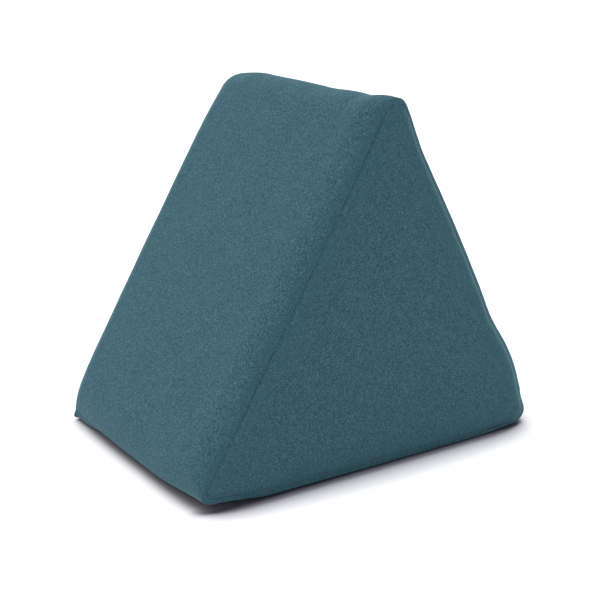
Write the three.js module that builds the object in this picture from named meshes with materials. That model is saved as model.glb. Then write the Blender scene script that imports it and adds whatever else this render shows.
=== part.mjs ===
// Triangular pouf in thick felted wool, standing on one long side like a tent.
// One band of felt runs round the three long sides, and a triangular felt panel
// is sewn into each end, where the band turns over. The filling puffs the panel out a little.
// Millimetres. X runs across the triangle, Y along the ridge and Z up.
// The origin is on the floor under the middle of the pouf. The near end is the one at -Y,
// and left and right are the sides at -X and +X.

import * as THREE from 'three';

// Driving sizes
const HEIGHT = 448;            // floor to the ridge, before the filling bows it up
const DEPTH = 328;             // between the planes of the two ends
const APEX_ANGLE = 60;         // degrees between the two slopes
const RIDGE_RADIUS = 42;       // soft fold of the band over the ridge
const FOOT_BEND = 90;          // wide bend where a slope turns upright above the floor
const FOOT_RADIUS = 25;        // tighter fold of the band at each lower corner
const SLOPE_SWELL = 3;         // how far the filling pushes out the middle of a slope

// How the band turns over the edge of an end, down to the seam
const EDGE_ROLL = 27;          // how far along Y the band takes to turn
const BASE_ROLL = 14;          // the same along the base, where the pouf's weight flattens it
const BASE_ROLL_TOP = 60;      // height at which the full roll is reached
const LIP_WIDTH = 4;           // last stretch of the band, turning in to the seam
const SEAM_DEPTH = 1.4;        // seam line in from the plane of the end
const RIGHT_TIGHTNESS = 0.05;  // share of that depth on the right of the near end
const RIGHT_EASE = 60;         // how far past the middle it takes to fall to that
const FOOT_TIGHTNESS = 0.5;    // share of it along the floor
const FOOT_EASE = [8, 60];     // heights over which it grows to the whole
const FAR_TIGHTNESS = 0.6;     // share of it at the far end

// The seam line at each end: how far in from the slopes and up from the floor.
// The sewing is a little uneven, so the two ends and the two sides differ.
const SEAMS = {
  near: {
    end: -1,
    leftTop: 22,
    leftFoot: 22,
    rightTop: 8,
    rightFoot: 16,
    leftRaise: 11,
    rightRaise: 6,
    baseSag: 2,
    apexRadius: 20,
    leftRadius: 9,
    rightRadius: 21,
  },
  far: {
    end: 1,
    leftTop: 24,
    leftFoot: 25,
    rightTop: 22,
    rightFoot: 23,
    leftRaise: 6,
    rightRaise: 8,
    baseSag: 1,
    apexRadius: 11,
    leftRadius: 9,
    rightRadius: 9,
  },
};

// End panel
const FELT = 4;                // felt with its bonded padding
const PANEL_EDGE = 8;          // width of the panel's rounded edge
const PANEL_PUFF = 3;          // how far the filling pushes it out over the plane of the end
const GAP = 0.3;               // between a panel and the band

// Where the filling lifts or drops the ridge: how much, at which place along Y and how far each way
const RIDGE_SETTLING = [
  { y: -158, rise: 8, reach: 46 },
  { y: -98, rise: 4, reach: 66 },
  { y: 0, rise: 2, reach: 140 },
  { y: 164, rise: -5, reach: 60 },
];
const RIDGE_SETTLING_DEPTH = 63; // height below the ridge at which its settling has faded out

// Where the filling swells a slope outwards or the sewing draws it in
const SLOPE_SETTLING = [
  { side: 1, out: 8, y: -150, yReach: 170, z: 100, zReach: 66 },
  { side: 1, out: 3, y: -150, yReach: 120, z: 250, zReach: 150 },
  { side: -1, out: -3, y: 164, yReach: 85, z: 24, zReach: 56 },
  { side: -1, out: -3, y: -164, yReach: 85, z: 25, zReach: 48 },
  { side: -1, out: 7, y: 150, yReach: 60, z: 0, zReach: 16 },
  { side: 1, out: 4, y: -164, yReach: 85, z: 8, zReach: 30 },
];

// Where the sewing lifts the lower edge off the floor
const FOOT_SETTLING = [
  { x: -250, xReach: 95, y: -164, yReach: 110, lift: 9 },
  { x: 225, xReach: 60, y: -164, yReach: 60, lift: 1.5 },
];
const FOOT_SETTLING_TOP = 110; // height at which that lift has faded out

// The right side of the near end turns over, and takes its seam round the corner
const TURNED_SIDE = {
  footWidth: 36,
  footBack: 22,
  topWidth: 22,
  topBack: 8,
};
const TURNED_START = 40;       // how far along from the middle the turn starts to pull the cloth
const TURNED_END = 140;
const TURNED_LIMIT = 0.97;     // the share of a quarter turn at which the drawing back stops
const TURNED_FLOOR_SHARE = 0.3; // how much of it is left at the foot's sewn corner
const TURNED_FLOOR_EASE = [5, 55]; // heights over which it grows to the whole

// Finish of the felt
const FELT_COLOUR = 0x446570;
const FELT_ROUGHNESS = 0.95;

// Fineness of the solids
const FOOT_LOW_STEPS = 5;
const FOOT_HIGH_STEPS = 3;
const APEX_STEPS = 8;
const SLOPE_STEPS = 12;
const BASE_STEPS = 8;
const ROLL_STEPS = 7;
const LIP_STEPS = 3;
const MIDDLE_RINGS = 5;
const PANEL_INSETS = [0, 1.5, 3.5, 6, PANEL_EDGE, 32, 75, 112];

const halfDepth = DEPTH / 2;
const halfApex = THREE.MathUtils.degToRad(APEX_ANGLE / 2);
const sharpTop = HEIGHT + RIDGE_RADIUS * (1 / Math.sin(halfApex) - 1);
const slopeAt = (z) => (sharpTop - z) * Math.tan(halfApex);
const bendTop = FOOT_RADIUS + FOOT_BEND * Math.sin(halfApex);
const upright = slopeAt(bendTop) + FOOT_BEND * (1 - Math.cos(halfApex));

// Half the width of the band at a height, with its upright foot and the tight fold under it
function edgeAt(z) {
  const below = THREE.MathUtils.clamp(FOOT_RADIUS - z, 0, FOOT_RADIUS);
  const fold = FOOT_RADIUS - Math.sqrt(FOOT_RADIUS ** 2 - below ** 2);
  return Math.min(slopeAt(z), upright) - fold;
}

// Points on an arc, from one angle to another in radians
function arcPoints(centre, radius, from, to, steps) {
  const points = [];
  for (let i = 0; i <= steps; i += 1) {
    const angle = THREE.MathUtils.lerp(from, to, i / steps);
    points.push(new THREE.Vector2(Math.cos(angle), Math.sin(angle)).multiplyScalar(radius).add(centre));
  }
  return points;
}

// Points round one corner, from the side that comes from before to the one that goes to after
function cornerArc(corner, before, after, radius, steps) {
  const toBefore = before.clone().sub(corner).normalize();
  const toAfter = after.clone().sub(corner).normalize();
  const half = Math.acos(toBefore.dot(toAfter)) / 2;
  const middle = toBefore.clone().add(toAfter).normalize();
  const centre = corner.clone().addScaledVector(middle, radius / Math.sin(half));
  const start = corner.clone().addScaledVector(toBefore, radius / Math.tan(half)).sub(centre).angle();
  return arcPoints(centre, radius, start, start + Math.PI - 2 * half, steps);
}

// Points between two arcs, without their ends, bowed outwards by swell
function side(from, to, swell, steps) {
  const along = to.clone().sub(from);
  const outward = new THREE.Vector2(along.y, -along.x).normalize();
  const points = [];
  for (let i = 1; i < steps; i += 1) {
    const t = i / steps;
    points.push(from.clone().addScaledVector(along, t).addScaledVector(outward, swell * 4 * t * (1 - t)));
  }
  return points;
}

// Closed outline from the right foot over the apex, given the bends at its three corners
function joinBends(right, apex, left, slopeSwell, baseSwell) {
  return [
    ...right,
    ...side(right.at(-1), apex[0], slopeSwell, SLOPE_STEPS),
    ...apex,
    ...side(apex.at(-1), left[0], slopeSwell, SLOPE_STEPS),
    ...left,
    ...side(left.at(-1), right[0], baseSwell, BASE_STEPS),
  ];
}

// The band's outline: round over the ridge, and at each foot upright and then tightly under
function bandSection() {
  const lowCentre = new THREE.Vector2(upright - FOOT_RADIUS, FOOT_RADIUS);
  const highCentre = new THREE.Vector2(upright - FOOT_BEND, FOOT_RADIUS);
  const right = [
    ...arcPoints(lowCentre, FOOT_RADIUS, -Math.PI / 2, 0, FOOT_LOW_STEPS),
    ...arcPoints(highCentre, FOOT_BEND, 0, halfApex, FOOT_HIGH_STEPS).slice(1),
  ];
  const left = right.map((point) => new THREE.Vector2(-point.x, point.y)).reverse();
  const ridgeCentre = new THREE.Vector2(0, HEIGHT - RIDGE_RADIUS);
  const apex = arcPoints(ridgeCentre, RIDGE_RADIUS, halfApex, Math.PI - halfApex, APEX_STEPS);
  return joinBends(right, apex, left, SLOPE_SWELL, 0);
}

const bandOutline = bandSection();

// The sewn line at one end, with the circle that touches its three sides
function sewSeam(row) {
  const inset = (foot, top, z) => THREE.MathUtils.lerp(foot, top, z / HEIGHT) / Math.cos(halfApex);
  const rightAt = (z) => slopeAt(z) - inset(row.rightFoot, row.rightTop, z);
  const leftAt = (z) => inset(row.leftFoot, row.leftTop, z) - slopeAt(z);
  const widthAt = (z) => rightAt(z) - leftAt(z);
  const apexZ = (HEIGHT * widthAt(0)) / (widthAt(0) - widthAt(HEIGHT));
  const apex = new THREE.Vector2(rightAt(apexZ), apexZ);
  const right = new THREE.Vector2(rightAt(row.rightRaise), row.rightRaise);
  const left = new THREE.Vector2(leftAt(row.leftRaise), row.leftRaise);
  const facing = { right: apex.distanceTo(left), apex: left.distanceTo(right), left: right.distanceTo(apex) };
  const round = facing.right + facing.apex + facing.left;
  const centre = new THREE.Vector2()
    .addScaledVector(right, facing.right / round)
    .addScaledVector(apex, facing.apex / round)
    .addScaledVector(left, facing.left / round);
  const bends = joinBends(
    cornerArc(right, left, apex, row.rightRadius, FOOT_LOW_STEPS + FOOT_HIGH_STEPS),
    cornerArc(apex, right, left, row.apexRadius, APEX_STEPS),
    cornerArc(left, apex, right, row.leftRadius, FOOT_LOW_STEPS + FOOT_HIGH_STEPS),
    0,
    row.baseSag,
  );
  const area = Math.abs(right.clone().sub(apex).cross(left.clone().sub(apex))) / 2;
  return {
    end: row.end,
    points: bends,
    centre,
    inradius: (2 * area) / round,
  };
}

// A smooth rise from 0 at a reach on either side of a place to 1 at the place
const hump = (value, at, reach) => Math.max(0, 1 - ((value - at) / reach) ** 2) ** 2;

// How far the right side of the near end is drawn back as it turns over into the slope
function turnedBack(x, y, z) {
  const up = THREE.MathUtils.clamp(z / HEIGHT, 0, 1);
  const width = THREE.MathUtils.lerp(TURNED_SIDE.footWidth, TURNED_SIDE.topWidth, up);
  const back = THREE.MathUtils.lerp(TURNED_SIDE.footBack, TURNED_SIDE.topBack, up)
    * THREE.MathUtils.lerp(TURNED_FLOOR_SHARE, 1, THREE.MathUtils.smoothstep(z, ...TURNED_FLOOR_EASE));
  const inset = (edgeAt(z) - x) * Math.cos(halfApex);
  const turn = THREE.MathUtils.clamp(1 - inset / width, 0, TURNED_LIMIT);
  return back * (1 - Math.sqrt(1 - turn ** 2)) * THREE.MathUtils.smoothstep(-y, TURNED_START, TURNED_END);
}

// How the filled pouf settles: an uneven ridge, slopes swollen or drawn in, and lifted feet
function settle({ x, y, z }) {
  const high = THREE.MathUtils.smoothstep(z, HEIGHT - RIDGE_SETTLING_DEPTH, HEIGHT);
  const low = Math.max(0, 1 - z / FOOT_SETTLING_TOP);
  const ridge = RIDGE_SETTLING.reduce((sum, row) => sum + row.rise * hump(y, row.y, row.reach), 0);
  const slope = SLOPE_SETTLING.reduce((sum, row) => {
    const onSide = THREE.MathUtils.smoothstep(row.side * x, 0, slopeAt(0) / 2);
    return sum + row.side * row.out * onSide * hump(y, row.y, row.yReach) * hump(z, row.z, row.zReach);
  }, 0);
  const foot = FOOT_SETTLING.reduce((sum, row) => (
    sum + row.lift * hump(x, row.x, row.xReach) * hump(y, row.y, row.yReach)
  ), 0);
  return new THREE.Vector3(x + slope, y + turnedBack(x, y, z), z + ridge * high + foot * low);
}

// How tightly the seam is drawn in: fully on the left, little along the floor and on the right
function drawnIn({ end }, { x, y }) {
  if (end > 0) {
    return FAR_TIGHTNESS;
  }
  const pastMiddle = 2 * x * Math.cos(halfApex);
  const right = THREE.MathUtils.smoothstep(pastMiddle, 0, RIGHT_EASE);
  const foot = THREE.MathUtils.smoothstep(y, ...FOOT_EASE);
  return Math.min(
    THREE.MathUtils.lerp(1, RIGHT_TIGHTNESS, right),
    THREE.MathUtils.lerp(FOOT_TIGHTNESS, 1, foot),
  );
}

// The seam's outline, inset towards its middle and moved out of the plane of the end by a rise,
// which depends on how tightly the seam is drawn in there
function seamRing(seam, inset, riseAt) {
  return seam.points.map((point) => {
    const place = seam.centre.clone().lerp(point, 1 - inset / seam.inradius);
    return new THREE.Vector3(place.x, seam.end * (halfDepth + riseAt(drawnIn(seam, place))), place.y);
  });
}

// A ring of the end panel's face, or of the layer that lies at a depth under it
function panelRing(seam, inset, sink) {
  const edge = Math.sin((Math.min(inset / PANEL_EDGE, 1) * Math.PI) / 2);
  return seamRing(seam, inset, (tight) => (
    (PANEL_PUFF + SEAM_DEPTH * tight) * edge - SEAM_DEPTH * tight - sink
  ));
}

const panelCentre = (seam, sink) => new THREE.Vector3(
  seam.centre.x,
  seam.end * (halfDepth + PANEL_PUFF - sink),
  seam.centre.y,
);

// One ring of the band as it turns over the edge of an end, from 0 to a quarter turn
function rollRing(seam, turn) {
  const lip = seamRing(seam, -LIP_WIDTH, () => 0);
  return bandOutline.map((point, i) => {
    const fullness = THREE.MathUtils.smoothstep(point.y, 0, BASE_ROLL_TOP);
    const roll = THREE.MathUtils.lerp(BASE_ROLL, EDGE_ROLL, fullness);
    const y = seam.end * (halfDepth - roll * (1 - Math.sin(turn)));
    return new THREE.Vector3(point.x, y, point.y)
      .lerp(new THREE.Vector3(lip[i].x, y, lip[i].z), 1 - Math.cos(turn));
  });
}

// A closed solid over a row of rings that runs towards +Y, with a point to close each end
function loft(rings, first, last) {
  const count = rings[0].length;
  const points = [first, ...rings.flat(), last].map(settle);
  const lastRing = 1 + (rings.length - 1) * count;
  const index = [];
  for (let j = 0; j < count; j += 1) {
    const next = (j + 1) % count;
    index.push(0, 1 + j, 1 + next);
    for (let here = 1; here < lastRing; here += count) {
      const beyond = here + count;
      index.push(here + j, beyond + j, here + next);
      index.push(here + next, beyond + j, beyond + next);
    }
    index.push(lastRing + j, points.length - 1, lastRing + next);
  }
  const geometry = new THREE.BufferGeometry().setFromPoints(points);
  geometry.setIndex(index);
  geometry.computeVertexNormals();
  return geometry;
}

// One end of the band, from the seat of the panel out to the lip and over the roll
function bandEnd(seam) {
  const rings = PANEL_INSETS.toReversed().map((inset) => panelRing(seam, inset, FELT + GAP));
  for (let i = LIP_STEPS; i > 0; i -= 1) {
    const turn = (i / LIP_STEPS) * (Math.PI / 2);
    const inset = -LIP_WIDTH * (1 - Math.sin(turn));
    rings.push(seamRing(seam, inset, (tight) => -SEAM_DEPTH * tight * (1 - Math.cos(turn))));
  }
  for (let i = ROLL_STEPS; i >= 0; i -= 1) {
    rings.push(rollRing(seam, (i / ROLL_STEPS) * (Math.PI / 2)));
  }
  return rings;
}

// The filled body inside the band, hollowed at each end to seat a panel
function bandGeometry(near, far) {
  const flatEnd = halfDepth - EDGE_ROLL;
  const middle = [];
  for (let i = 1; i <= MIDDLE_RINGS; i += 1) {
    const y = THREE.MathUtils.lerp(-flatEnd, flatEnd, i / (MIDDLE_RINGS + 1));
    middle.push(bandOutline.map((point) => new THREE.Vector3(point.x, y, point.y)));
  }
  return loft(
    [...bandEnd(near), ...middle, ...bandEnd(far).toReversed()],
    panelCentre(near, FELT + GAP),
    panelCentre(far, FELT + GAP),
  );
}

// A triangular panel of felt with a puffed face and a rounded edge
function panelGeometry(seam) {
  const insets = PANEL_INSETS.map((inset) => Math.max(inset, GAP));
  const face = insets.map((inset) => panelRing(seam, inset, 0));
  const back = insets.map((inset) => panelRing(seam, inset, FELT));
  const outwards = [...back.toReversed(), ...face];
  return seam.end > 0
    ? loft(outwards, panelCentre(seam, FELT), panelCentre(seam, 0))
    : loft(outwards.toReversed(), panelCentre(seam, 0), panelCentre(seam, FELT));
}

const felt = () => new THREE.MeshStandardMaterial({
  color: FELT_COLOUR,
  roughness: FELT_ROUGHNESS,
  metalness: 0,
});

function piece(name, geometry) {
  const mesh = new THREE.Mesh(geometry, felt());
  mesh.name = name;
  return mesh;
}

const nearSeam = sewSeam(SEAMS.near);
const farSeam = sewSeam(SEAMS.far);
const pouf = new THREE.Group();
pouf.add(piece('band', bandGeometry(nearSeam, farSeam)));
pouf.add(piece('end_panel_near', panelGeometry(nearSeam)));
pouf.add(piece('end_panel_far', panelGeometry(farSeam)));

export default pouf;
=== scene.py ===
"""Triangular pouf in thick felted wool, standing on one long side.

Metres, +Z up, X across the triangle and Y along the ridge. The near end is the one at -Y.
One band of felt runs round the long sides and a triangular panel is sewn into each end.
"""

import math

import bpy
import numpy as np
from mathutils import Euler, Matrix, Vector, noise


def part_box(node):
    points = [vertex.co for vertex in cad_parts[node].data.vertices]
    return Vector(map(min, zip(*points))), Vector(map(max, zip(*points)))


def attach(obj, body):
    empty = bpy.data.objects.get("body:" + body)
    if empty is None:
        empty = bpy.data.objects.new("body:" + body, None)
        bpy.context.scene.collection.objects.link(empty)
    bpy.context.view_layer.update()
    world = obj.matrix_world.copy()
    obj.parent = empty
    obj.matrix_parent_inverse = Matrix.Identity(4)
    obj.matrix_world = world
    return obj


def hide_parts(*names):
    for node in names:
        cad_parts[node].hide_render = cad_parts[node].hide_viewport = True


MM = 0.001

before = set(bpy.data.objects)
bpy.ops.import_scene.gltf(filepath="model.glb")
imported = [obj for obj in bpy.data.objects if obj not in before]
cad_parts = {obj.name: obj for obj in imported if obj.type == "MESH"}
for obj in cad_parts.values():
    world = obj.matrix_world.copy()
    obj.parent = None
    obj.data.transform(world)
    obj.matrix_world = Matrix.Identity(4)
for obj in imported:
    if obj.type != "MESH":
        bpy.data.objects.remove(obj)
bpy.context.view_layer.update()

# Driving sizes, the same as the solids have
HEIGHT = 448 * MM               # floor to the ridge, before the filling bows it up
APEX_ANGLE = math.radians(60)   # between the two slopes
RIDGE_RADIUS = 42 * MM          # soft fold of the band over the ridge
FOOT_BEND = 90 * MM             # wide bend where a slope turns upright above the floor
FOOT_RADIUS = 25 * MM           # tighter fold of the band at each lower corner
SLOPE_SWELL = 3 * MM            # how far the filling pushes out the middle of a slope
EDGE_ROLL = 27 * MM             # how far along Y the band takes to turn over the edge of an end
BASE_ROLL = 14 * MM             # the same along the base
BASE_ROLL_TOP = 60 * MM         # height at which the full roll is reached
LIP_WIDTH = 4 * MM              # last stretch of the band, turning in to the seam
SEAM_DEPTH = 1.4 * MM           # seam line in from the plane of the end
RIGHT_TIGHTNESS = 0.05          # share of that depth on the right of the near end
RIGHT_EASE = 60 * MM            # how far past the middle it takes to fall to that
FOOT_TIGHTNESS = 0.5            # share of it along the floor
FOOT_EASE = (8 * MM, 60 * MM)   # heights over which it grows to the whole
FAR_TIGHTNESS = 0.6             # share of it at the far end
FELT = 4 * MM                   # felt with its bonded padding
PANEL_EDGE = 8 * MM             # width of a panel's rounded edge
PANEL_PUFF = 3 * MM             # how far the filling pushes it out over the plane of the end
GAP = 0.3 * MM                  # between a panel and the band

# The seam line at each end, in millimetres: how far in from the slopes and up from the floor
SEAMS = {
    "near": {
        "end": -1,
        "left_top": 22,
        "left_foot": 22,
        "right_top": 8,
        "right_foot": 16,
        "left_raise": 11,
        "right_raise": 6,
        "base_sag": 2,
        "apex_radius": 20,
        "left_radius": 9,
        "right_radius": 21,
    },
    "far": {
        "end": 1,
        "left_top": 24,
        "left_foot": 25,
        "right_top": 22,
        "right_foot": 23,
        "left_raise": 6,
        "right_raise": 8,
        "base_sag": 1,
        "apex_radius": 11,
        "left_radius": 9,
        "right_radius": 9,
    },
}

# How the filling has settled, in millimetres, each row with its place, its reach and how far it moves
RIDGE_SETTLING = (
    {"y": -158, "rise": 8, "reach": 46},
    {"y": -98, "rise": 4, "reach": 66},
    {"y": 0, "rise": 2, "reach": 140},
    {"y": 164, "rise": -5, "reach": 60},
)
RIDGE_SETTLING_DEPTH = 63 * MM  # height below the ridge at which its settling has faded out
SLOPE_SETTLING = (
    {"side": 1, "out": 8, "y": -150, "y_reach": 170, "z": 100, "z_reach": 66},
    {"side": 1, "out": 3, "y": -150, "y_reach": 120, "z": 250, "z_reach": 150},
    {"side": -1, "out": -3, "y": 164, "y_reach": 85, "z": 24, "z_reach": 56},
    {"side": -1, "out": -3, "y": -164, "y_reach": 85, "z": 25, "z_reach": 48},
    {"side": -1, "out": 7, "y": 150, "y_reach": 60, "z": 0, "z_reach": 16},
    {"side": 1, "out": 4, "y": -164, "y_reach": 85, "z": 8, "z_reach": 30},
)
FOOT_SETTLING = (
    {"x": -250, "x_reach": 95, "y": -164, "y_reach": 110, "lift": 9},
    {"x": 225, "x_reach": 60, "y": -164, "y_reach": 60, "lift": 1.5},
)
FOOT_SETTLING_TOP = 110 * MM    # height at which the lift of a foot has faded out

# The right side of the near end turns over, and takes its seam round the corner
TURNED_SIDE = {
    "foot_width": 36 * MM,
    "foot_back": 22 * MM,
    "top_width": 22 * MM,
    "top_back": 8 * MM,
}
TURNED_START = 40 * MM          # how far along from the middle the turn starts to pull the cloth
TURNED_END = 140 * MM
TURNED_LIMIT = 0.97             # the share of a quarter turn at which the drawing back stops
TURNED_FLOOR_SHARE = 0.3        # how much of it is left at the foot's sewn corner
TURNED_FLOOR_EASE = (5 * MM, 55 * MM)  # heights over which it grows to the whole

# Fineness of the cloth
FOOT_LOW_STEPS = 25
FOOT_HIGH_STEPS = 15
APEX_STEPS = 40
SLOPE_STEPS = 176
BASE_STEPS = 56
ROLL_STEPS = 18
LIP_STEPS = 5
MIDDLE_RINGS = 116
PANEL_SPACING = 1.7 * MM
PANEL_BACK_SPACING = 9 * MM
PANEL_EDGE_INSETS = (0.05 * MM, 0.6 * MM, 1.4 * MM, 2.3 * MM, 3.4 * MM, 4.7 * MM, 6.3 * MM)
BACK_THINNING = 4               # the hidden backs keep one point in this many
BACK_RINGS = 5
FEWEST_POINTS = 6               # in the smallest ring of a panel

# Unevenness of the cloth: size of the lumps and how far they stand out
NAP_SIZE = 5.5 * MM
NAP_HEIGHT = 0.07 * MM
WAVE_SIZE = 60 * MM
WAVE_HEIGHT = 0.9 * MM
PUCKER_SIZE = 22 * MM
PUCKER_HEIGHT = 0.6 * MM
PUCKER_REACH = 16 * MM
STITCH_SIZE = 26 * MM           # how far apart the seam bites deeper and shallower
SEAM_UNEVENNESS = 0.7
PRESSED = "pressed"             # where the sewing pulls the cloth tight and presses its nap flat
PRESSED_GAIN = 2.2
PRESSED_SHARE = 0.38            # how much of the nap is gone there
OBLIQUE = Euler((0.6, 0.4, 0.9))  # turns the noise, so that no face lies along its grid
NAP_PLACE = 2.0                 # where in the noise each kind of unevenness is read
FINE_NAP_PLACE = 5.1
WAVE_PLACE = 9.7
PUCKER_PLACE = 13.3
STITCH_PLACE = 21.4
FLOOR_CALM = 5 * MM             # height over which the unevenness fades in above the floor

low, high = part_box("band")
half_depth = (high.y - low.y) / 2
half_apex = APEX_ANGLE / 2
sharp_top = HEIGHT + RIDGE_RADIUS * (1 / math.sin(half_apex) - 1)


def slope_at(z):
    """Half the width of the triangle at a height."""
    return (sharp_top - z) * math.tan(half_apex)


bend_top = FOOT_RADIUS + FOOT_BEND * math.sin(half_apex)
upright = slope_at(bend_top) + FOOT_BEND * (1 - math.cos(half_apex))


def edge_at(z):
    """Half the width of the band at a height, with its upright foot and the tight fold under it."""
    below = np.clip(FOOT_RADIUS - z, 0, FOOT_RADIUS)
    fold = FOOT_RADIUS - np.sqrt(FOOT_RADIUS ** 2 - below ** 2)
    return np.minimum(slope_at(z), upright) - fold


def smoothstep(value, start, end):
    t = np.clip((value - start) / (end - start), 0, 1)
    return t * t * (3 - 2 * t)


def hump(value, at, reach):
    """A smooth rise from 0 at a reach on either side of a place to 1 at the place."""
    return np.maximum(0, 1 - ((value - at * MM) / (reach * MM)) ** 2) ** 2


def arc_points(centre, radius, start, end, steps):
    angle = np.linspace(start, end, steps + 1)
    return centre + radius * np.column_stack([np.cos(angle), np.sin(angle)])


def corner_arc(corner, before, after, radius, steps):
    """Points round one corner, from the side that comes from before to the one that goes to after."""
    to_before = (before - corner) / np.linalg.norm(before - corner)
    to_after = (after - corner) / np.linalg.norm(after - corner)
    half = math.acos(to_before @ to_after) / 2
    middle = (to_before + to_after) / np.linalg.norm(to_before + to_after)
    centre = corner + middle * radius / math.sin(half)
    spoke = corner + to_before * radius / math.tan(half) - centre
    start = math.atan2(spoke[1], spoke[0])
    return arc_points(centre, radius, start, start + math.pi - 2 * half, steps)


def side(start, end, swell, steps):
    """Points between two arcs, without their ends, bowed outwards by swell."""
    along = end - start
    outward = np.array([along[1], -along[0]]) / np.linalg.norm(along)
    t = np.arange(1, steps)[:, None] / steps
    return start + along * t + outward * swell * 4 * t * (1 - t)


def join_bends(right, apex, left, slope_swell, base_swell):
    """Closed outline from the right foot over the apex, given the bends at its three corners."""
    return np.vstack([
        right,
        side(right[-1], apex[0], slope_swell, SLOPE_STEPS),
        apex,
        side(apex[-1], left[0], slope_swell, SLOPE_STEPS),
        left,
        side(left[-1], right[0], base_swell, BASE_STEPS),
    ])


def band_section():
    """The band's outline: round over the ridge, and at each foot upright and then tightly under."""
    low_centre = np.array([upright - FOOT_RADIUS, FOOT_RADIUS])
    high_centre = np.array([upright - FOOT_BEND, FOOT_RADIUS])
    right = np.vstack([
        arc_points(low_centre, FOOT_RADIUS, -math.pi / 2, 0, FOOT_LOW_STEPS),
        arc_points(high_centre, FOOT_BEND, 0, half_apex, FOOT_HIGH_STEPS)[1:],
    ])
    left = (right * [-1, 1])[::-1]
    ridge_centre = np.array([0, HEIGHT - RIDGE_RADIUS])
    apex = arc_points(ridge_centre, RIDGE_RADIUS, half_apex, math.pi - half_apex, APEX_STEPS)
    return join_bends(right, apex, left, SLOPE_SWELL, 0)


band_outline = band_section()


def sew_seam(row):
    """The sewn line at one end, with the circle that touches its three sides."""
    mm = {name: value * MM for name, value in row.items()}

    def inset(foot, top, z):
        return (foot + (top - foot) * z / HEIGHT) / math.cos(half_apex)

    def right_at(z):
        return slope_at(z) - inset(mm["right_foot"], mm["right_top"], z)

    def left_at(z):
        return inset(mm["left_foot"], mm["left_top"], z) - slope_at(z)

    foot_width = right_at(0) - left_at(0)
    top_width = right_at(HEIGHT) - left_at(HEIGHT)
    apex_z = HEIGHT * foot_width / (foot_width - top_width)
    apex = np.array([right_at(apex_z), apex_z])
    right = np.array([right_at(mm["right_raise"]), mm["right_raise"]])
    left = np.array([left_at(mm["left_raise"]), mm["left_raise"]])
    facing = [np.linalg.norm(apex - left), np.linalg.norm(left - right), np.linalg.norm(right - apex)]
    centre = (facing[0] * right + facing[1] * apex + facing[2] * left) / sum(facing)
    to_right, to_left = right - apex, left - apex
    area = abs(to_right[0] * to_left[1] - to_right[1] * to_left[0]) / 2
    foot_steps = FOOT_LOW_STEPS + FOOT_HIGH_STEPS
    points = join_bends(
        corner_arc(right, left, apex, mm["right_radius"], foot_steps),
        corner_arc(apex, right, left, mm["apex_radius"], APEX_STEPS),
        corner_arc(left, apex, right, mm["left_radius"], foot_steps),
        0,
        mm["base_sag"],
    )
    return {"end": row["end"], "points": points, "centre": centre, "inradius": 2 * area / sum(facing)}


def settle(points):
    """How the filled pouf settles: an uneven ridge, slopes swollen or drawn in, and lifted feet."""
    x, y, z = points.T
    high_up = smoothstep(z, HEIGHT - RIDGE_SETTLING_DEPTH, HEIGHT)
    low_down = np.maximum(0, 1 - z / FOOT_SETTLING_TOP)
    out = np.zeros_like(x)
    rise = np.zeros_like(x)
    for row in RIDGE_SETTLING:
        rise += row["rise"] * MM * hump(y, row["y"], row["reach"]) * high_up
    for row in SLOPE_SETTLING:
        on_side = smoothstep(row["side"] * x, 0, slope_at(0) / 2)
        place = hump(y, row["y"], row["y_reach"]) * hump(z, row["z"], row["z_reach"])
        out += row["side"] * row["out"] * MM * on_side * place
    for row in FOOT_SETTLING:
        place = hump(x, row["x"], row["x_reach"]) * hump(y, row["y"], row["y_reach"])
        rise += row["lift"] * MM * place * low_down
    return np.column_stack([x + out, y + turned_back(x, y, z), z + rise])


def turned_back(x, y, z):
    """How far the right side of the near end is drawn back as it turns over into the slope."""
    up = np.clip(z / HEIGHT, 0, 1)
    width = TURNED_SIDE["foot_width"] * (1 - up) + TURNED_SIDE["top_width"] * up
    back = TURNED_SIDE["foot_back"] * (1 - up) + TURNED_SIDE["top_back"] * up
    inset = (edge_at(z) - x) * math.cos(half_apex)
    back *= TURNED_FLOOR_SHARE + (1 - TURNED_FLOOR_SHARE) * smoothstep(z, *TURNED_FLOOR_EASE)
    turn = np.clip(1 - inset / width, 0, TURNED_LIMIT)
    return back * (1 - np.sqrt(1 - turn ** 2)) * smoothstep(-y, TURNED_START, TURNED_END)


def drawn_in(seam, outline):
    """How tightly the seam is drawn in: fully on the left, little along the floor and on the right."""
    if seam["end"] > 0:
        return np.full(len(outline), FAR_TIGHTNESS)
    x, z = outline.T
    past_middle = 2 * x * math.cos(half_apex)
    right = 1 - (1 - RIGHT_TIGHTNESS) * smoothstep(past_middle, 0, RIGHT_EASE)
    foot = FOOT_TIGHTNESS + (1 - FOOT_TIGHTNESS) * smoothstep(z, *FOOT_EASE)
    along = np.column_stack([x, np.zeros_like(x), z])
    return np.minimum(right, foot) * (1 + SEAM_UNEVENNESS * field(along, STITCH_SIZE, STITCH_PLACE))


def in_plane(seam, outline, rise):
    """An outline in X and Z, placed at a height over the plane of its end."""
    return np.column_stack([outline[:, 0], seam["end"] * (half_depth + rise), outline[:, 1]])


def seam_outline(seam, inset):
    """The seam's outline, inset towards its middle."""
    return seam["centre"] + (seam["points"] - seam["centre"]) * (1 - inset / seam["inradius"])


def panel_ring(seam, outline, inset, sink):
    """A ring of a panel's face, or of the layer that lies at a depth under it."""
    tight = drawn_in(seam, outline)
    edge = math.sin(min(inset / PANEL_EDGE, 1) * math.pi / 2)
    rise = (PANEL_PUFF + SEAM_DEPTH * tight) * edge - SEAM_DEPTH * tight
    return in_plane(seam, outline, rise - sink)


def panel_centre(seam, sink):
    return panel_ring(seam, seam["centre"][None], seam["inradius"], sink)


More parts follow.
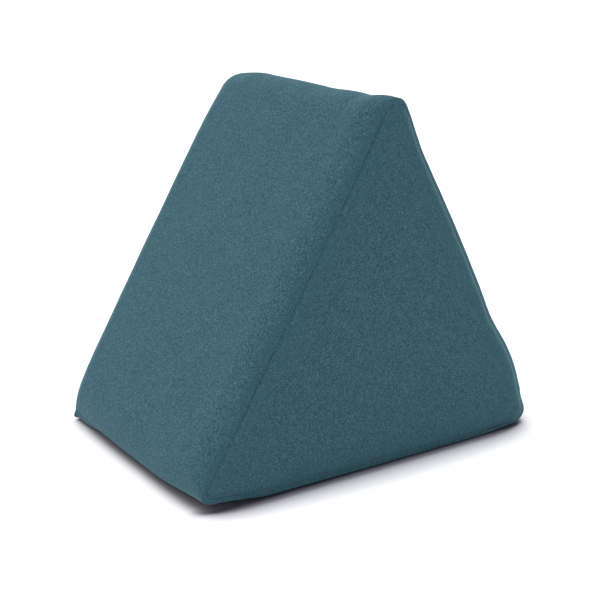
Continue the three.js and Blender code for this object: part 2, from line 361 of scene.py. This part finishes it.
def roll_ring(seam, turn):
    """One ring of the band as it turns over the edge of an end, from 0 to a quarter turn."""
    lip = seam_outline(seam, -LIP_WIDTH)
    fullness = smoothstep(band_outline[:, 1], 0, BASE_ROLL_TOP)
    roll = BASE_ROLL + (EDGE_ROLL - BASE_ROLL) * fullness
    y = seam["end"] * (half_depth - roll * (1 - math.sin(turn)))
    section = band_outline + (lip - band_outline) * (1 - math.cos(turn))
    return np.column_stack([section[:, 0], y, section[:, 1]])


def spaced(outline, spacing):
    """The same closed outline with evenly spaced points."""
    closed = np.vstack([outline, outline[:1]])
    along = np.concatenate([[0], np.cumsum(np.linalg.norm(np.diff(closed, axis=0), axis=1))])
    count = max(FEWEST_POINTS, round(along[-1] / spacing))
    places = np.arange(count) / count * along[-1]
    return np.column_stack([np.interp(places, along, closed[:, k]) for k in range(2)])


def band_end(seam):
    """Rings of one end of the band, from the hidden seat of the panel out to the lip and over the roll."""
    seat = panel_ring(seam, seam_outline(seam, PANEL_EDGE), PANEL_EDGE, FELT + GAP)
    wall = panel_ring(seam, seam_outline(seam, 0), 0, FELT + GAP)
    rings = [seat[::BACK_THINNING], wall[::BACK_THINNING]]
    for turn in np.linspace(math.pi / 2, 0, LIP_STEPS + 1)[:-1]:
        outline = seam_outline(seam, -LIP_WIDTH * (1 - math.sin(turn)))
        sink = SEAM_DEPTH * (1 - math.cos(turn)) * drawn_in(seam, outline)
        rings.append(in_plane(seam, outline, -sink))
    for turn in np.linspace(math.pi / 2, 0, ROLL_STEPS + 1):
        rings.append(roll_ring(seam, turn))
    return rings


def band_rings(near, far):
    """Rings of the whole band, from the middle of its near end to the middle of its far end."""
    near_rings = band_end(near)
    far_rings = band_end(far)[::-1]
    start, end = near_rings[-1], far_rings[0]
    middle = [start + (end - start) * t for t in np.linspace(0, 1, MIDDLE_RINGS + 2)[1:-1]]
    return [
        panel_centre(near, FELT + GAP),
        *near_rings,
        *middle,
        *far_rings,
        panel_centre(far, FELT + GAP),
    ]


def panel_rings(seam):
    """Rings of an end panel from the middle of its back, round its edge, to the middle of its face."""
    radial = PANEL_SPACING * math.sqrt(3) / 2
    across = np.arange(PANEL_EDGE, seam["inradius"] - radial / 2, radial)

    def ring(inset, spacing, sink):
        return panel_ring(seam, spaced(seam_outline(seam, inset), spacing), inset, sink)

    face = [ring(inset, PANEL_SPACING, 0) for inset in (*PANEL_EDGE_INSETS, *across)]
    rim = ring(PANEL_EDGE_INSETS[0], PANEL_SPACING, FELT)
    behind = np.linspace(seam["inradius"], PANEL_EDGE, BACK_RINGS + 1)[1:]
    back = [ring(inset, PANEL_BACK_SPACING, FELT) for inset in behind]
    rings = [panel_centre(seam, FELT), *back, rim, *face, panel_centre(seam, 0)]
    return rings if seam["end"] > 0 else rings[::-1]


def zip_faces(here, here_count, beyond, beyond_count):
    """Faces between two closed rings, given by their first vertex and how many they have."""
    if here_count == beyond_count:
        after = [(j + 1) % here_count for j in range(here_count)]
        return [(here + j, beyond + j, beyond + k, here + k) for j, k in enumerate(after)]
    here_steps = here_count if here_count > 1 else 0
    beyond_steps = beyond_count if beyond_count > 1 else 0
    faces = []
    i = j = 0
    while i < here_steps or j < beyond_steps:
        a, b = here + i % here_count, beyond + j % beyond_count
        ahead = (i + 1) * beyond_steps <= (j + 1) * here_steps
        if i < here_steps and (ahead or j == beyond_steps):
            faces.append((a, b, here + (i + 1) % here_count))
            i += 1
        else:
            faces.append((a, b, beyond + (j + 1) % beyond_count))
            j += 1
    return faces


def skin(name, rings):
    """A closed smooth mesh over a row of rings that runs towards +Y, a single point at each end."""
    points = settle(np.vstack(rings))
    counts = [len(ring) for ring in rings]
    starts = np.concatenate([[0], np.cumsum(counts)])
    faces = []
    for k in range(len(rings) - 1):
        faces += zip_faces(int(starts[k]), counts[k], int(starts[k + 1]), counts[k + 1])
    mesh = bpy.data.meshes.new(name)
    mesh.from_pydata(points.tolist(), [], faces)
    mesh.validate()
    mesh.shade_smooth()
    piece = bpy.data.objects.new(name, mesh)
    bpy.context.scene.collection.objects.link(piece)
    return piece


def field(points, size, place):
    """Smooth noise at each point, about -1 to 1, whose lumps have this size."""
    scaled = points @ np.array(OBLIQUE.to_matrix()) / size + place
    return np.array([noise.noise(Vector(p)) for p in scaled])


def seam_nearness(points, seam):
    """1 on the sewn line of one end, and 0 away from it."""
    across = points[:, [0, 2]] - seam["centre"]
    cos, sin = math.cos(half_apex), math.sin(half_apex)
    sides = [(cos, sin), (-cos, sin), (0, -1)]
    reach = np.max(across @ np.array(sides).T, axis=1)
    along = half_depth - seam["end"] * points[:, 1]
    return np.exp(-(np.abs(seam["inradius"] - reach) + np.abs(along)) / PUCKER_REACH)


def read_vectors(items, name):
    """One vector of each item, as rows."""
    values = np.zeros(len(items) * 3)
    items.foreach_get(name, values)
    return values.reshape(-1, 3)


def ruffle(piece):
    """Moves a piece's surface in and out: its nap, slow waves, and puckers by the sewing."""
    mesh = piece.data
    points = read_vectors(mesh.vertices, "co")
    normals = read_vectors(mesh.vertex_normals, "vector")
    height = NAP_HEIGHT * field(points, NAP_SIZE, NAP_PLACE)
    height += NAP_HEIGHT / 2 * field(points, NAP_SIZE / 2, FINE_NAP_PLACE)
    height += WAVE_HEIGHT * field(points, WAVE_SIZE, WAVE_PLACE)
    nearness = seam_nearness(points, near_seam) + seam_nearness(points, far_seam)
    pressed = mesh.attributes.new(PRESSED, "FLOAT", "POINT")
    pressed.data.foreach_set("value", np.minimum(1, nearness * PRESSED_GAIN))
    height += PUCKER_HEIGHT * field(points, PUCKER_SIZE, PUCKER_PLACE) * nearness
    height *= smoothstep(points[:, 2], 0, FLOOR_CALM)
    moved = points + normals * height[:, None]
    moved[:, 2] = np.maximum(moved[:, 2], 0)
    mesh.vertices.foreach_set("co", moved.ravel())
    mesh.update()


NOISE_ROUGHNESS = 0.6
NOISE_DETAIL = 2.0


def link(tree, source, socket, target, name):
    tree.links.new(source.outputs[socket], target.inputs[name])


def grain(tree, coordinates, size, distortion=0.0):
    """A noise whose lumps have this size."""
    node = tree.nodes.new("ShaderNodeTexNoise")
    node.inputs["Scale"].default_value = 1 / size
    node.inputs["Detail"].default_value = NOISE_DETAIL
    node.inputs["Roughness"].default_value = NOISE_ROUGHNESS
    node.inputs["Distortion"].default_value = distortion
    link(tree, coordinates, "Vector", node, "Vector")
    return node


def ramp(tree, source, socket, stops):
    """Colours along a node's values."""
    node = tree.nodes.new("ShaderNodeValToRGB")
    elements = node.color_ramp.elements
    elements[0].position, elements[1].position = stops[0][0], stops[-1][0]
    elements[0].color, elements[1].color = (*stops[0][1], 1), (*stops[-1][1], 1)
    for place, colour in stops[1:-1]:
        elements.new(place).color = (*colour, 1)
    link(tree, source, socket, node, "Fac")
    return node


def blend(tree, mode):
    """A mix of two colours."""
    node = tree.nodes.new("ShaderNodeMix")
    node.data_type = "RGBA"
    node.blend_type = mode
    return node


# The felt: linear colours from the bottom of its grain to the top, and faint larger patches
FELT_COLOURS = (
    (0.3, (0.0102, 0.0325, 0.0444)),
    (0.5, (0.0246, 0.0673, 0.0863)),
    (0.7, (0.0565, 0.1195, 0.1455)),
)
PATCH_SHADES = (
    (0.35, (0.975, 0.975, 0.975)),
    (0.65, (1.025, 1.025, 1.025)),
)
GRAIN_SIZE = 1.8 * MM
GRAIN_DISTORTION = 0.4
FIBRE_SIZE = 0.9 * MM
FIBRE_DISTORTION = 1.2
PATCH_SIZE = 16 * MM
RELIEF_HEIGHT = 0.21 * MM       # of the grain and the fibres, in the material
FELT_ROUGHNESS = (0.85, 1)      # between the fibres and on them
FELT_SPECULAR = 0.06
SHEEN_WEIGHT = 0.27
SHEEN_ROUGHNESS = 0.4
SHEEN_TINT = (0.5, 0.86, 0.95, 1.0)
NOISE_MIDDLE = 0.5


def pressed_flat(tree, noise_node, share):
    """A noise's values, drawn towards their middle where the nap is pressed flat."""
    calm = tree.nodes.new("ShaderNodeMix")
    calm.inputs["B"].default_value = NOISE_MIDDLE
    link(tree, share, "Value", calm, "Factor")
    link(tree, noise_node, "Fac", calm, "A")
    return calm


def felt_material(name):
    """Felted wool: mottled fibres, a matt nap with a faint sheen, and a pebbly surface."""
    material = bpy.data.materials.new(name)
    material.use_nodes = True
    tree = material.node_tree
    shader = tree.nodes["Principled BSDF"]
    place = tree.nodes.new("ShaderNodeTexCoord")
    coordinates = tree.nodes.new("ShaderNodeMapping")
    coordinates.inputs["Rotation"].default_value = OBLIQUE
    link(tree, place, "Object", coordinates, "Vector")
    pebbles = grain(tree, coordinates, GRAIN_SIZE, GRAIN_DISTORTION)
    fibres = grain(tree, coordinates, FIBRE_SIZE, FIBRE_DISTORTION)
    patches = grain(tree, coordinates, PATCH_SIZE)

    pressed = tree.nodes.new("ShaderNodeAttribute")
    pressed.attribute_name = PRESSED
    share = tree.nodes.new("ShaderNodeMath")
    share.operation = "MULTIPLY"
    share.inputs[1].default_value = PRESSED_SHARE
    link(tree, pressed, "Fac", share, 0)
    pebble_height = pressed_flat(tree, pebbles, share)
    fibre_height = pressed_flat(tree, fibres, share)

    colour = ramp(tree, pebble_height, "Result", FELT_COLOURS)
    shade = ramp(tree, patches, "Fac", PATCH_SHADES)
    mottled = blend(tree, "MULTIPLY")
    mottled.inputs["Factor"].default_value = 1
    link(tree, colour, "Color", mottled, "A")
    link(tree, shade, "Color", mottled, "B")
    link(tree, mottled, "Result", shader, "Base Color")

    relief = tree.nodes.new("ShaderNodeMath")
    relief.operation = "ADD"
    link(tree, pebble_height, "Result", relief, 0)
    link(tree, fibre_height, "Result", relief, 1)
    bump = tree.nodes.new("ShaderNodeBump")
    bump.inputs["Strength"].default_value = 1
    bump.inputs["Distance"].default_value = RELIEF_HEIGHT
    link(tree, relief, "Value", bump, "Height")
    link(tree, bump, "Normal", shader, "Normal")

    roughness = tree.nodes.new("ShaderNodeMapRange")
    roughness.inputs["To Min"].default_value = FELT_ROUGHNESS[0]
    roughness.inputs["To Max"].default_value = FELT_ROUGHNESS[1]
    link(tree, fibres, "Fac", roughness, "Value")
    link(tree, roughness, "Result", shader, "Roughness")
    shader.inputs["Specular IOR Level"].default_value = FELT_SPECULAR
    shader.inputs["Sheen Weight"].default_value = SHEEN_WEIGHT
    shader.inputs["Sheen Roughness"].default_value = SHEEN_ROUGHNESS
    shader.inputs["Sheen Tint"].default_value = SHEEN_TINT
    return material


def dress(piece, node, material):
    """Gives a piece its finish and lets it stand for its solid."""
    piece.data.materials.append(material)
    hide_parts(node)
    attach(piece, "root")


near_seam = sew_seam(SEAMS["near"])
far_seam = sew_seam(SEAMS["far"])
band_felt = felt_material("band_felt")
end_felt = felt_material("end_felt")

band = skin("felt_band", band_rings(near_seam, far_seam))
near_panel = skin("felt_end_near", panel_rings(near_seam))
far_panel = skin("felt_end_far", panel_rings(far_seam))
for piece in (band, near_panel, far_panel):
    ruffle(piece)
dress(band, "band", band_felt)
dress(near_panel, "end_panel_near", end_felt)
dress(far_panel, "end_panel_far", end_felt)

# Floor: white paper with a painted shadow. Its colour is darkened by ambient occlusion where the pouf
# closes over it, more along the near end than beside the slopes.
FLOOR_SIDE = 60.0
FLOOR_COLOUR = (0.93, 0.93, 0.93)
SHADE_REACH = 60 * MM
LEFT_SHADE = (
    (0.25, (0.20, 0.195, 0.215)),
    (0.38, (0.33, 0.325, 0.35)),
    (0.47, (0.50, 0.495, 0.52)),
    (0.56, (0.64, 0.63, 0.66)),
    (0.64, (0.75, 0.74, 0.78)),
    (0.70, (0.81, 0.80, 0.83)),
    (0.76, (0.86, 0.85, 0.88)),
    (0.86, (0.93, 0.925, 0.935)),
    (0.96, (1.0, 1.0, 1.0)),
)
NEAR_SHADE = (
    (0.25, (0.03, 0.03, 0.042)),
    (0.42, (0.055, 0.053, 0.07)),
    (0.50, (0.08, 0.078, 0.10)),
    (0.54, (0.12, 0.117, 0.145)),
    (0.57, (0.23, 0.225, 0.265)),
    (0.59, (0.37, 0.36, 0.41)),
    (0.62, (0.46, 0.45, 0.50)),
    (0.66, (0.54, 0.53, 0.58)),
    (0.71, (0.63, 0.62, 0.67)),
    (0.77, (0.73, 0.72, 0.76)),
    (0.86, (0.84, 0.835, 0.86)),
    (0.97, (1.0, 1.0, 1.0)),
)
NEAR_SHADE_START = -142 * MM    # along Y, where the side's painted shade gives way to the near end's darker painted shade
NEAR_SHADE_END = -160 * MM
SHADE_SAMPLES = 32
FLOOR_ROUGHNESS = 0.9
FLOOR_SPECULAR = 0.1


def floor_material():
    material = bpy.data.materials.new("floor_paper_painted_shadow")
    material.use_nodes = True
    tree = material.node_tree
    shader = tree.nodes["Principled BSDF"]
    # Painted shadow: ambient occlusion within SHADE_REACH picks a darkening colour from two ramps, blended
    # along Y, and that multiplies the paper's colour
    openness = tree.nodes.new("ShaderNodeAmbientOcclusion")
    openness.samples = SHADE_SAMPLES
    openness.inputs["Distance"].default_value = SHADE_REACH
    left_shade = ramp(tree, openness, "AO", LEFT_SHADE)
    near_shade = ramp(tree, openness, "AO", NEAR_SHADE)
    place = tree.nodes.new("ShaderNodeTexCoord")
    parts = tree.nodes.new("ShaderNodeSeparateXYZ")
    link(tree, place, "Object", parts, "Vector")
    nearness = tree.nodes.new("ShaderNodeMapRange")
    nearness.inputs["From Min"].default_value = NEAR_SHADE_START
    nearness.inputs["From Max"].default_value = NEAR_SHADE_END
    link(tree, parts, "Y", nearness, "Value")
    shade = blend(tree, "MIX")
    link(tree, nearness, "Result", shade, "Factor")
    link(tree, left_shade, "Color", shade, "A")
    link(tree, near_shade, "Color", shade, "B")
    paper = blend(tree, "MULTIPLY")
    paper.inputs["Factor"].default_value = 1
    paper.inputs["B"].default_value = (*FLOOR_COLOUR, 1)
    link(tree, shade, "Result", paper, "A")
    link(tree, paper, "Result", shader, "Base Color")
    shader.inputs["Roughness"].default_value = FLOOR_ROUGHNESS
    shader.inputs["Specular IOR Level"].default_value = FLOOR_SPECULAR
    return material


def build_floor():
    half = FLOOR_SIDE / 2
    mesh = bpy.data.meshes.new("floor")
    corners = [(-half, -half, 0), (half, -half, 0), (half, half, 0), (-half, half, 0)]
    mesh.from_pydata(corners, [], [(0, 1, 2, 3)])
    floor = bpy.data.objects.new("floor", mesh)
    bpy.context.scene.collection.objects.link(floor)
    mesh.materials.append(floor_material())


build_floor()

# Light: an even sky and wide soft lamps, each from a compass angle that runs from +Y towards +X
SKY_STRENGTH = 0.4
SKY_COLOUR = (0.92, 1.0, 1.03)
LAMP_COLOUR = (1.0, 0.98, 0.96)
LAMP_SPREAD = math.radians(50)
LAMPS = (
    {"name": "front", "compass": 180, "strength": 1.38, "elevation": 38},
    {"name": "left", "compass": 266, "strength": 1.18, "elevation": 38},
    {"name": "back_left", "compass": 315, "strength": 0.5, "elevation": 38},
    {"name": "top", "compass": 315, "strength": 2.15, "elevation": 85},
)


def build_lights():
    world = bpy.data.worlds.new("studio")
    world.use_nodes = True
    world.node_tree.nodes["Background"].inputs["Color"].default_value = (*SKY_COLOUR, 1)
    world.node_tree.nodes["Background"].inputs["Strength"].default_value = SKY_STRENGTH
    bpy.context.scene.world = world
    for row in LAMPS:
        compass, elevation = math.radians(row["compass"]), math.radians(row["elevation"])
        towards = Vector((
            math.sin(compass) * math.cos(elevation),
            math.cos(compass) * math.cos(elevation),
            math.sin(elevation),
        ))
        data = bpy.data.lights.new(row["name"], "SUN")
        data.angle = LAMP_SPREAD
        data.energy = row["strength"]
        data.color = LAMP_COLOUR
        lamp = bpy.data.objects.new(row["name"], data)
        lamp.rotation_euler = towards.to_track_quat("Z", "Y").to_euler()
        bpy.context.scene.collection.objects.link(lamp)


build_lights()

# Camera at the photograph's viewing angle
FRAME_PIXELS = 600
CAMERA_AZIMUTH = math.radians(-35.0)
CAMERA_ELEVATION = math.radians(18.11)
CAMERA_ROLL = math.radians(1.21)
CAMERA_DISTANCE = 1652 * MM
CAMERA_SIDE = -4.7 * MM
CAMERA_RISE = -30.6 * MM
CAMERA_AIM = Vector((0, 0, 202.5 * MM))
FOCAL_PIXELS = 1286.2
SENSOR = 36.0


def build_camera():
    azimuth, elevation = CAMERA_AZIMUTH, CAMERA_ELEVATION
    back = Vector((
        math.sin(azimuth) * math.cos(elevation),
        -math.cos(azimuth) * math.cos(elevation),
        math.sin(elevation),
    ))
    level = Vector((math.cos(azimuth), math.sin(azimuth), 0))
    rise = back.cross(level)
    right = level * math.cos(CAMERA_ROLL) + rise * math.sin(CAMERA_ROLL)
    up = rise * math.cos(CAMERA_ROLL) - level * math.sin(CAMERA_ROLL)
    data = bpy.data.cameras.new("camera")
    data.sensor_width = SENSOR
    data.lens = FOCAL_PIXELS / FRAME_PIXELS * SENSOR
    camera = bpy.data.objects.new("camera", data)
    place = CAMERA_AIM + back * CAMERA_DISTANCE + right * CAMERA_SIDE + up * CAMERA_RISE
    camera.matrix_world = Matrix.Translation(place) @ Matrix((right, up, back)).transposed().to_4x4()
    bpy.context.scene.collection.objects.link(camera)
    bpy.context.scene.camera = camera


build_camera()
bpy.context.scene.view_settings.view_transform = "Standard"
